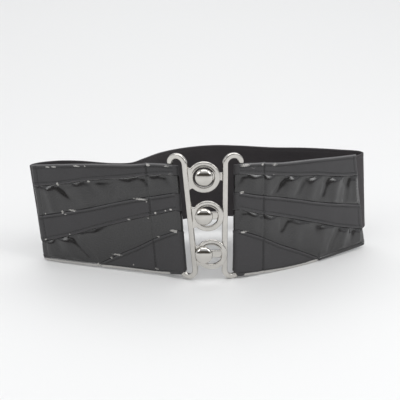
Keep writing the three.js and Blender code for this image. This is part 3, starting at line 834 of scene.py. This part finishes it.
def surface_at(side, path, z):
    """Distance out of whichever strip shows at a place on a panel."""
    seams = seam_heights(side, path)
    if z > seams.a:
        return matte_outer(side, path, z, seams.a, seams.top, turned_lip, turned_hem)
    if z > seams.b:
        return patent_outer(side, "upper", path, z, seams.b, seams.a, 0)
    if z > seams.c:
        return matte_outer(side, path, z, seams.c, seams.b, turned_lip, turned_lip)
    if z > seams.d:
        lower = max(seams.d, seams.bottom)
        return patent_outer(side, "lower", path, z, lower, seams.c, float(path > side.tip))
    return matte_outer(side, path, z, seams.bottom, seams.d, turned_hem, turned_lip)


def curve_points(stops, per_span):
    """Points along a smooth curve through the stops, eased by the distance between them."""
    stops = [stops[0] * 2 - stops[1], *stops, stops[-1] * 2 - stops[-2]]
    points = []
    for p0, p1, p2, p3 in zip(stops, stops[1:], stops[2:], stops[3:]):
        d0, d1, d2 = (math.sqrt((b - a).length) for a, b in ((p0, p1), (p1, p2), (p2, p3)))
        leave = ((p1 - p0) / d0 - (p2 - p0) / (d0 + d1) + (p2 - p1) / d1) * d1
        enter = ((p2 - p1) / d1 - (p3 - p1) / (d1 + d2) + (p3 - p2) / d2) * d1
        for i in range(per_span):
            t = i / per_span
            cubic = (p1 - p2) * 2 + leave + enter
            square = (p2 - p1) * 3 - leave * 2 - enter
            points.append(p1 + leave * t + square * t**2 + cubic * t**3)
    return [*points, stops[-2]]


def elastic_route():
    """Points along the elastic's middle, from the left panel's end round the back to the right one's."""
    behind = LAYER_GAP + ELASTIC_WALL / 2

    def stitched(side, share):
        place, out, _ = front_place(side, side.length - share * ELASTIC_OVERLAP)
        return place - out * behind

    left = [stitched(LEFT, share) for share in (1, 0.6, 0.3, 0)]
    right = [stitched(RIGHT, share) for share in (0, 0.3, 0.6, 1)]
    back = []
    for row in BACK_ROUTE:
        spot = left[-1].lerp(right[0], row["across"])
        spot.y += row["depth"] * WAIST_DEPTH
        back.append(spot)
    return curve_points([*left, *back, *right], 60)


def elastic_band(material):
    """The woven elastic: a sheet that follows the route, with firmer edges and slight waves."""
    route = elastic_route()
    lengths = [0]
    for start, end in zip(route, route[1:]):
        lengths.append(lengths[-1] + (end - start).length)
    total = lengths[-1]
    bm = bmesh.new()
    bmesh.ops.create_grid(
        bm, x_segments=round(total / ELASTIC_STEP), y_segments=ELASTIC_COLUMNS, size=0.5
    )
    flat = {}
    stations = {}
    for vert in bm.verts:
        share = min(max(vert.co.x + 0.5, 0), 1)
        height = min(max(vert.co.y + 0.5, 0), 1) * ELASTIC_HEIGHT
        if share not in stations:
            length = share * total
            i = min(max(k for k in range(len(lengths)) if lengths[k] <= length), len(route) - 2)
            part = (length - lengths[i]) / (lengths[i + 1] - lengths[i])
            along = (route[min(i + 2, len(route) - 1)] - route[max(i - 1, 0)]).normalized()
            out = Vector((-along.y, along.x, 0))
            side = LEFT if share < 0.5 else RIGHT
            past_seam = min(share, 1 - share) * total - ELASTIC_OVERLAP
            free = ramp(past_seam, 0, 2 * ELASTIC_OVERLAP)
            lean = directions(side, 1)[2] * (1 - free)
            stations[share] = (route[i].lerp(route[i + 1], part), out, lean, free)
        place, out, lean, free = stations[share]
        z = ELASTIC_BOTTOM + height
        edge = min(height, ELASTIC_HEIGHT - height)
        wave = ELASTIC_WAVE * noise.noise(Vector((share * total / 30, height / 22, 2.0))) * free
        wave += FIRM_EDGE_RISE * bell(edge - FIRM_EDGE, FIRM_EDGE_WIDTH) * free
        vert.co = place + out * wave + lean * z + Vector((0, 0, z))
        flat[vert] = (share * total, height)
    lay_cloth(bm, flat.get)
    piece = piece_from(bm, "elastic_webbing", material, "elastic_band")
    solid = piece.modifiers.new("thickness", "SOLIDIFY")
    solid.thickness = (ELASTIC_WALL - 0.1) * MM
    solid.offset = 0


# The clasp. Each half is made lying in the XY plane, front up, with its visible bar on the Y axis. Its
# three eyes or studs stand in rows below, at and above the middle.
ROWS = (-1, 0, 1)


def bar_section(bm):
    """The clasp bar's section, a rounded rectangle, in the XZ plane."""
    made = bmesh.ops.create_circle(bm, segments=24, radius=1)
    for vert in made["verts"]:
        x, z = vert.co.x, vert.co.y
        width = math.copysign(abs(x) ** 0.5, x) * BAR_WIDTH / 2
        depth = math.copysign(abs(z) ** 0.5, z) * BAR_DEPTH / 2
        vert.co = Vector((width, FRAME_OUTER, depth))
    return made["verts"]


def clamp_frame(bm, hand, sweep):
    """Bar bent into a long loop: the visible bar, two round ends and the bar in the leather. sweep is how
    far the loop turns back about the visible bar."""
    start = set(bm.verts)
    ring = bar_section(bm)
    straight = PLATE_HEIGHT - 2 * FRAME_OUTER
    middle = hand * BAR_SPACING / 2

    def edges_of(ring):
        return list({edge for vert in ring for edge in vert.link_edges if all(v in ring for v in edge.verts)})

    def run(ring, distance):
        made = bmesh.ops.extrude_edge_only(bm, edges=edges_of(ring))["geom"]
        moved = [item for item in made if isinstance(item, bmesh.types.BMVert)]
        bmesh.ops.translate(bm, verts=moved, vec=(0, distance, 0))
        return moved

    def bend(ring, height):
        made = bmesh.ops.spin(
            bm, geom=[*ring, *edges_of(ring)], cent=(middle, height, 0), axis=(0, 0, 1),
            angle=-hand * math.pi, steps=BEND_STEPS,
        )["geom_last"]
        return [item for item in made if isinstance(item, bmesh.types.BMVert)]

    ring = run(ring, straight)
    ring = bend(ring, PLATE_HEIGHT - FRAME_OUTER)
    ring = run(ring, -straight)
    bend(ring, FRAME_OUTER)
    made = [vert for vert in bm.verts if vert not in start]
    bmesh.ops.remove_doubles(bm, verts=made, dist=0.01)
    made = [vert for vert in bm.verts if vert not in start]
    bmesh.ops.rotate(bm, verts=made, cent=(0, 0, 0), matrix=Matrix.Rotation(hand * sweep, 3, "Y"))


def lathe(bm, profile, centre):
    """Turns a profile of radii and heights round the Z axis at a centre."""
    verts = [bm.verts.new(Vector((radius, 0, z)) + centre) for radius, z in profile]
    edges = [bm.edges.new(pair) for pair in zip(verts, verts[1:])]
    bmesh.ops.spin(
        bm, geom=[*verts, *edges], cent=centre, axis=(0, 0, 1), angle=2 * math.pi,
        steps=ROUND_STEPS, use_merge=True,
    )
    bmesh.ops.remove_doubles(bm, verts=bm.verts, dist=0.001)


def slab(bm, outline, depth):
    """A flat plate of an outline, centred on the XY plane. Returns its vertices."""
    verts = [bm.verts.new((x, y, -depth / 2)) for x, y in outline]
    face = bm.faces.new(verts)
    made = bmesh.ops.extrude_face_region(bm, geom=[face], use_keep_orig=True)["geom"]
    raised = [item for item in made if isinstance(item, bmesh.types.BMVert)]
    bmesh.ops.translate(bm, verts=raised, vec=(0, 0, depth))
    return [*verts, *raised]


def arc(x, y, radius, start, end, steps):
    """Points round an arc, from one angle to another, in degrees."""
    turns = [math.radians(lerp(start, end, i / steps)) for i in range(steps + 1)]
    return [(x + radius * math.cos(turn), y + radius * math.sin(turn)) for turn in turns]


def cast(bm, name):
    """Fuses overlapping closed shapes into one casting with soft edges."""
    bmesh.ops.recalc_face_normals(bm, faces=bm.faces)
    lump = new_object(name + "_rough", mesh_from(bm, name + "_rough"))
    fuse = lump.modifiers.new("fuse", "REMESH")
    fuse.mode = "VOXEL"
    fuse.voxel_size = CASTING_VOXEL
    fuse.use_smooth_shade = True
    fused = bpy.data.meshes.new_from_object(lump.evaluated_get(bpy.context.evaluated_depsgraph_get()))
    bpy.data.objects.remove(lump)
    casting = bmesh.new()
    casting.from_mesh(fused)
    for _ in range(3):
        bmesh.ops.smooth_vert(
            casting, verts=casting.verts, factor=0.5, use_axis_x=True, use_axis_y=True, use_axis_z=True
        )
    return casting


def web_outline():
    """The web that joins an eye to the bar, with a hollow curve above and below."""
    half = WEB_HEIGHT / 2
    neck = EYE_REACH - EYE_OUTER / 2 + BAR_WIDTH
    upper = []
    steps = 6
    for i in range(steps + 1):
        t = i / steps
        x = 2 * t * (1 - t) * BAR_WIDTH / 2 + t * t * neck
        y = (1 - t) ** 2 * (half + WEB_FLARE) + (1 - t * t - (1 - t) ** 2) * half + t * t * half
        upper.append((x, y))
    return [*upper, *((x, -y) for x, y in reversed(upper))]


def eye_place():
    """Where the eye half of the clasp stands, leaning a little to the left."""
    lay = Matrix.Translation((0, EYE_LIFT - STUD_HEIGHT, 0))
    stand = Matrix.Rotation(math.pi / 2, 4, "X")
    lean = Matrix.Rotation(-EYE_LEAN, 4, "Y")
    return Matrix.Translation((EYE_BAR_X, EYE_BAR_Y, STUD_HEIGHT)) @ lean @ stand @ lay


def stud_place():
    """Where the stud half of the clasp stands."""
    return Matrix.Translation((STUD_BAR_X, STUD_BAR_Y, 0)) @ Matrix.Rotation(math.pi / 2, 4, "X")


def eye_plate(material):
    """The cast half with three round eyes."""
    hole, edge = EYE_HOLE / 2, EYE_OUTER / 2
    back, front = -EYE_DEPTH / 2, EYE_DEPTH / 2
    face = front - 0.4
    ring = [
        (hole, back + 0.5), (hole + 0.5, back), (edge - 0.9, back), (edge - 0.25, back + 0.4),
        (edge, back + 1.1), (edge, face - 1.0), (edge - 0.3, face - 0.3), (edge - 0.9, face),
        (hole + 1.9, face), (hole + 1.5, front - 0.05), (hole + 0.9, front + 0.1),
        (hole + 0.3, front - 0.2), (hole, front - 0.8), (hole, back + 0.5),
    ]
    bm = bmesh.new()
    clamp_frame(bm, -1, math.radians(LEFT_PLAN[0]["heading"]))
    for row in ROWS:
        centre = Vector((EYE_REACH, PLATE_HEIGHT / 2 + row * EYE_PITCH, 0))
        web = slab(bm, web_outline(), WEB_DEPTH)
        inside = hole + 1
        for vert in web:
            if math.hypot(vert.co.x - EYE_REACH, vert.co.y) < inside:
                vert.co.x = EYE_REACH - math.sqrt(inside**2 - vert.co.y**2)
        bmesh.ops.translate(bm, verts=web, vec=(0, centre.y, 0))
        lathe(bm, ring, centre)
    casting = cast(bm, "eye_half")
    casting.transform(eye_place())
    piece_from(casting, "eye_half", material, "eye_plate")


def stud_plate(material, polish):
    """The cast half with three arms, and its three polished domed heads."""
    base = EYE_SHIFT + EYE_DEPTH / 2 + PLATE_CLEARANCE
    half = ARM_HEIGHT / 2
    neck = STUD_NECK / 2
    centres = [Vector((-STUD_REACH, STUD_HEIGHT + row * EYE_PITCH, 0)) for row in ROWS]
    bm = bmesh.new()
    clamp_frame(bm, 1, math.radians(RIGHT_PLAN[0]["heading"]))
    arm = [(0, -half), (0, half), *arc(-STUD_REACH, 0, half, 90, 270, 16)]
    for centre in centres:
        slab(bm, [(x, y + centre.y - ARM_DROP) for x, y in arm], ARM_DEPTH)
        top = base + 0.6
        lathe(bm, [(0, 0), (neck, 0), (neck, top), (0, top)], centre)
    casting = cast(bm, "stud_half")
    casting.transform(stud_place())
    piece_from(casting, "stud_half", material, "stud_plate")

    rim = arc(STUD_HEAD / 2 - STUD_RIM, base + STUD_RIM, STUD_RIM, -90, 15, 6)
    dome_radius, dome_start = rim[-1]
    dome_rise = base + STUD_DOME - dome_start
    steps = 16
    turns = [math.pi / 2 * i / steps for i in range(1, steps)]
    dome = [(dome_radius * math.cos(turn), dome_start + dome_rise * math.sin(turn)) for turn in turns]
    for number, centre in enumerate(centres, 1):
        bm = bmesh.new()
        lathe(bm, [(0, base), *rim, *dome, (0, base + STUD_DOME)], centre)
        bmesh.ops.recalc_face_normals(bm, faces=bm.faces)
        bm.transform(stud_place())
        piece_from(bm, f"stud_head_{number}", polish, "stud_plate")


def set_sockets(tree, node, sockets):
    """Sets a node's inputs, by name or as _0, _1 by number: a value is set, and an output is linked."""
    for name, value in sockets.items():
        socket = node.inputs[int(name[1:])] if name[0] == "_" else node.inputs[name.replace("_", " ")]
        if isinstance(value, bpy.types.NodeSocket):
            tree.links.new(value, socket)
        else:
            socket.default_value = value
    return node


def node_of(tree, kind, **sockets):
    """Adds a shader node with its inputs."""
    return set_sockets(tree, tree.nodes.new(kind), sockets)


def maths(tree, operation, *values):
    """The result of a Math node."""
    node = node_of(tree, "ShaderNodeMath", **{f"_{i}": value for i, value in enumerate(values)})
    node.operation = operation
    return node.outputs[0]


def attribute_level(tree, name):
    """The level of one of a mesh's own attributes."""
    level = tree.nodes.new("ShaderNodeAttribute")
    level.attribute_name = name
    return level.outputs["Fac"]


def faded(tree, value, start, end):
    """A value that goes from 0 to 1 between two levels."""
    node = node_of(tree, "ShaderNodeMapRange", Value=value, From_Min=start, From_Max=end)
    return node.outputs["Result"]


def ranged(tree, value, low, high):
    """Carries a 0 to 1 value over to a range."""
    return node_of(tree, "ShaderNodeMapRange", Value=value, To_Min=low, To_Max=high).outputs["Result"]


def mixed(tree, amount, first, second):
    """Mixes two colours."""
    mix = tree.nodes.new("ShaderNodeMix")
    mix.data_type = "RGBA"
    return set_sockets(tree, mix, {"_0": amount, "_6": first, "_7": second}).outputs[2]


def placed_group(tree, group, **sockets):
    """Places a node group in a material with its own values."""
    node = tree.nodes.new("ShaderNodeGroup")
    node.node_tree = group
    return set_sockets(tree, node, sockets)


def add_bump(tree, shader, height, depth, strength=1.0):
    """Raises a material's surface by a height map."""
    bump = node_of(tree, "ShaderNodeBump", Strength=strength, Distance=depth, Height=height)
    tree.links.new(bump.outputs["Normal"], shader.inputs["Normal"])


def cloth_map(tree):
    """The place on a piece's flat sheet."""
    surface = tree.nodes.new("ShaderNodeUVMap")
    surface.uv_map = "cloth"
    return surface.outputs["UV"]


def group_tree(name, inputs, outputs):
    """An empty shader node group with named inputs and outputs."""
    tree = bpy.data.node_groups.new(name, "ShaderNodeTree")
    for label, kind, value in inputs:
        socket = tree.interface.new_socket(label, in_out="INPUT", socket_type=kind)
        if value is not None:
            socket.default_value = value
    for label, kind in outputs:
        tree.interface.new_socket(label, in_out="OUTPUT", socket_type=kind)
    return tree, tree.nodes.new("NodeGroupInput"), tree.nodes.new("NodeGroupOutput")


def leather_grain_group():
    """Fine pebbled grain over slow mottling, for both leathers."""
    tree, start, end = group_tree(
        "Leather Grain",
        [("Surface", "NodeSocketVector", None), ("Grain Size", "NodeSocketFloat", 1400.0)],
        [("Grain", "NodeSocketFloat"), ("Mottle", "NodeSocketFloat")],
    )
    surface, size = start.outputs["Surface"], start.outputs["Grain Size"]
    cells = node_of(tree, "ShaderNodeTexVoronoi", Vector=surface, Scale=size, Randomness=0.9)
    fine = node_of(tree, "ShaderNodeTexNoise", Vector=surface, Scale=size, Detail=3.0, Roughness=0.6)
    pebbles = maths(tree, "MULTIPLY_ADD", cells.outputs["Distance"], 0.7, fine.outputs["Fac"])
    mottle = node_of(tree, "ShaderNodeTexNoise", Vector=surface, Scale=38.0, Detail=4.0, Roughness=0.55)
    tree.links.new(pebbles, end.inputs["Grain"])
    tree.links.new(mottle.outputs["Fac"], end.inputs["Mottle"])
    return tree


def wear_and_light_group():
    """Masks for chips, the lower edge bared by wear, the painted highlight along edges and the painted shade
    in stitch grooves, the first three with ragged outlines."""
    tree, start, end = group_tree(
        "Wear And Painted Light",
        [("Surface", "NodeSocketVector", None)],
        [(label, "NodeSocketFloat") for label in ("Peeled", "Pale Edge", "Edge Highlight", "Groove Shade")],
    )
    surface = start.outputs["Surface"]
    ragged = node_of(tree, "ShaderNodeTexNoise", Vector=surface, Scale=900.0, Detail=3.0, Roughness=0.7)
    for label, name, floor, softness in (
        ("Peeled", "peeled", 0.98, 0.12),
        ("Pale Edge", "pale_edge", 0.9, 0.2),
        ("Edge Highlight", "edge_highlight", 0.5, 1.0),
    ):
        total = maths(tree, "ADD", attribute_level(tree, name), ragged.outputs["Fac"])
        tree.links.new(faded(tree, total, floor, floor + softness), end.inputs[label])
    tree.links.new(attribute_level(tree, "groove_shade"), end.inputs["Groove Shade"])
    return tree


def new_material(name, specular=0.5):
    """A new material, with its node tree and its shader."""
    material = bpy.data.materials.new(name)
    material.use_nodes = True
    shader = material.node_tree.nodes["Principled BSDF"]
    shader.inputs["Specular IOR Level"].default_value = specular
    return material, material.node_tree, shader


def leather(
    name, grain_group, skin_group, dark, light, rough, specular, grain_size, grain_depth, edge_highlight, peel, pale
):
    """Imitation leather: black skin with grain, chips where it has peeled, a lower edge bared by wear, a
    painted highlight along the edges and painted shade in the stitch grooves.
    """
    material, tree, shader = new_material(name, specular)
    surface = cloth_map(tree)
    grain = placed_group(tree, grain_group, Surface=surface, Grain_Size=grain_size)
    skin = placed_group(tree, skin_group, Surface=surface)
    black = mixed(tree, grain.outputs["Mottle"], dark, light)
    # Painted shade: the stitch grooves are darkened almost to black.
    groove_shaded = mixed(tree, skin.outputs["Groove Shade"], black, (0.006, 0.006, 0.006, 1))
    # Painted highlight: the strips' edges, where they catch the light, are lightened to grey.
    wear_and_highlight = mixed(tree, skin.outputs["Edge Highlight"], groove_shaded, edge_highlight)
    edged = mixed(tree, skin.outputs["Pale Edge"], wear_and_highlight, pale)
    colour = mixed(tree, skin.outputs["Peeled"], edged, peel)
    tree.links.new(colour, shader.inputs["Base Color"])
    bare = maths(tree, "MAXIMUM", skin.outputs["Peeled"], skin.outputs["Pale Edge"])
    skin_rough = ranged(tree, grain.outputs["Mottle"], *rough)
    tree.links.new(maths(tree, "MULTIPLY_ADD", bare, 0.5, skin_rough), shader.inputs["Roughness"])
    add_bump(tree, shader, maths(tree, "MULTIPLY_ADD", bare, -1.6, grain.outputs["Grain"]), grain_depth)
    return material


def woven_elastic():
    """Black woven elastic: fine ribs along it, crossed by the weft, with a line near its upper edge."""
    material, tree, shader = new_material("woven elastic", 0.25)
    surface = cloth_map(tree)
    ribs = node_of(tree, "ShaderNodeTexWave", Vector=surface, Scale=260.0, Distortion=0.4)
    ribs.bands_direction = "Y"
    weft = node_of(tree, "ShaderNodeTexWave", Vector=surface, Scale=420.0, Distortion=0.6)
    weft.bands_direction = "X"
    fibre = node_of(tree, "ShaderNodeTexNoise", Vector=surface, Scale=1500.0, Detail=4.0)
    cloud = node_of(tree, "ShaderNodeTexNoise", Vector=surface, Scale=24.0, Detail=3.0)
    weave = maths(tree, "MULTIPLY", ribs.outputs["Fac"], weft.outputs["Fac"])
    shade = maths(tree, "MULTIPLY_ADD", weave, 0.45, cloud.outputs["Fac"])
    black = mixed(tree, shade, (0.034, 0.0305, 0.0325, 1), (0.062, 0.056, 0.059, 1))
    height = node_of(tree, "ShaderNodeSeparateXYZ", Vector=surface).outputs["Y"]
    line = maths(tree, "COMPARE", height, (ELASTIC_HEIGHT - 3.1) * MM, 0.5 * MM)
    tree.links.new(mixed(tree, line, black, (0.06, 0.055, 0.058, 1)), shader.inputs["Base Color"])
    shader.inputs["Roughness"].default_value = 0.92
    shader.inputs["Sheen Weight"].default_value = 0.12
    add_bump(tree, shader, maths(tree, "MULTIPLY_ADD", fibre.outputs["Fac"], 0.5, weave), 0.0003)
    return material


def plated_metal(name, rough, unevenness):
    """Warm silver plating, slightly uneven and scuffed."""
    material, tree, shader = new_material(name)
    place = node_of(tree, "ShaderNodeTexCoord")
    rub_and_highlight = node_of(tree, "ShaderNodeTexNoise", Vector=place.outputs["Object"], Scale=90.0, Detail=5.0)
    tree.links.new(ranged(tree, rub_and_highlight.outputs["Fac"], *rough), shader.inputs["Roughness"])
    tint = mixed(tree, rub_and_highlight.outputs["Fac"], (0.5, 0.485, 0.455, 1), (0.72, 0.7, 0.665, 1))
    tree.links.new(tint, shader.inputs["Base Color"])
    shader.inputs["Metallic"].default_value = 1.0
    ripple = node_of(tree, "ShaderNodeTexNoise", Vector=place.outputs["Object"], Scale=170.0, Detail=2.0)
    add_bump(tree, shader, ripple.outputs["Fac"], 0.0004, unevenness)
    return material


def sewing_thread():
    """Black waxed thread with a fine twist."""
    material, tree, shader = new_material("sewing thread", 0.4)
    place = node_of(tree, "ShaderNodeTexCoord")
    twist = node_of(tree, "ShaderNodeTexWave", Vector=place.outputs["Object"], Scale=900.0, Distortion=1.0)
    tint = mixed(tree, twist.outputs["Fac"], (0.03, 0.03, 0.031, 1), (0.085, 0.084, 0.086, 1))
    tree.links.new(tint, shader.inputs["Base Color"])
    shader.inputs["Roughness"].default_value = 0.55
    return material


grain = leather_grain_group()
skin = wear_and_light_group()
# In both leathers, the grey given for the edges is a painted highlight.
matte_leather = leather(
    "matte leather", grain, skin, dark=(0.03, 0.029, 0.031, 1), light=(0.052, 0.05, 0.053, 1),
    rough=(0.46, 0.62), specular=0.5, grain_size=1300.0, grain_depth=0.00008,
    edge_highlight=(0.14, 0.138, 0.14, 1), peel=(0.5, 0.49, 0.47, 1), pale=(0.48, 0.47, 0.45, 1),
)
patent_leather = leather(
    "patent leather", grain, skin, dark=(0.01, 0.0096, 0.01, 1), light=(0.018, 0.0172, 0.018, 1),
    rough=(0.17, 0.27), specular=0.75, grain_size=300.0, grain_depth=0.000005,
    edge_highlight=(0.12, 0.118, 0.12, 1), peel=(0.42, 0.41, 0.39, 1), pale=(0.48, 0.47, 0.45, 1),
)
thread = sewing_thread()
for side in (LEFT, RIGHT):
    panel(side, matte_leather, patent_leather)
    panel_stitching(side, thread)
elastic_band(woven_elastic())
cast_plating = plated_metal("cast plating", (0.12, 0.24), 0.12)
eye_plate(cast_plating)
stud_plate(cast_plating, plated_metal("polished heads", (0.04, 0.09), 0.03))

# Stage: a pale floor, soft studio light and the camera at the photograph's angle, in metres. The camera's
# aim is in the belt's own millimetres.
CAMERA_ELEVATION = math.radians(20)
CAMERA_DISTANCE = 1.14
CAMERA_LENS = 111.24
CAMERA_SENSOR = 36
AIM_HEIGHT = 79.3
FLOOR_SIZE = 40

aim = TO_FRAME @ Vector((0, 0, AIM_HEIGHT))
camera = new_object("camera", bpy.data.cameras.new("camera"))
camera.data.lens = CAMERA_LENS
camera.data.sensor_width = CAMERA_SENSOR
back_to_camera = Vector((0, -math.cos(CAMERA_ELEVATION), math.sin(CAMERA_ELEVATION)))
camera.location = aim + CAMERA_DISTANCE * back_to_camera
camera.rotation_euler = (math.pi / 2 - CAMERA_ELEVATION, 0, 0)
bpy.context.scene.camera = camera

bm = bmesh.new()
bmesh.ops.create_grid(bm, x_segments=1, y_segments=1, size=FLOOR_SIZE / 2)
floor = new_object("floor", mesh_from(bm, "floor"))
floor_material, tree, shader = new_material("pale floor", 0.3)
shader.inputs["Base Color"].default_value = (0.8, 0.8, 0.795, 1)
shader.inputs["Roughness"].default_value = 0.55
floor.data.materials.append(floor_material)


def soft_light(name, place, target, width, height, power):
    """A rectangular soft light aimed at a point."""
    light = bpy.data.lights.new(name, "AREA")
    light.shape = "RECTANGLE"
    light.size = width
    light.size_y = height
    light.energy = power
    lamp = new_object(name, light)
    lamp.location = place
    lamp.rotation_euler = (Vector(target) - Vector(place)).to_track_quat("-Z", "Y").to_euler()


soft_light("overhead softbox", (0.1, -0.45, 1.55), (0.05, -0.05, 0), 1.5, 1.2, 9.5)
soft_light("rear softbox", (0, 1.6, 1.7), (0, 1.3, 0), 2.4, 1.4, 16)
soft_light("left softbox", (-1.3, -0.9, 1.0), (0, 0, 0.05), 0.7, 0.8, 4.5)
soft_light("right softbox", (1.4, -0.7, 1.1), (0, 0, 0.05), 0.7, 0.9, 8)

# Plain pale surroundings, dimmer behind the camera, so that the clasp has something dark to mirror
world = bpy.data.worlds.new("studio")
bpy.context.scene.world = world
world.use_nodes = True
tree = world.node_tree
way = tree.nodes.new("ShaderNodeTexCoord").outputs["Generated"]
apart = node_of(tree, "ShaderNodeSeparateXYZ", Vector=way)
patches = node_of(tree, "ShaderNodeTexNoise", Vector=way, Scale=7.0, Detail=1.0)
dim = mixed(tree, patches.outputs["Fac"], (0.02, 0.05, 0.07, 1), (0.24, 0.19, 0.14, 1))
towards_front = faded(tree, apart.outputs["Y"], -0.25, -0.6)
below_top = faded(tree, apart.outputs["Z"], 0.5, 0.34)
studio = mixed(tree, maths(tree, "MULTIPLY", towards_front, below_top), (0.85, 0.86, 0.88, 1), dim)
tree.links.new(studio, tree.nodes["Background"].inputs["Color"])
tree.nodes["Background"].inputs["Strength"].default_value = 0.7

bpy.context.scene.view_settings.view_transform = "Standard"

bpy.context.view_layer.update()
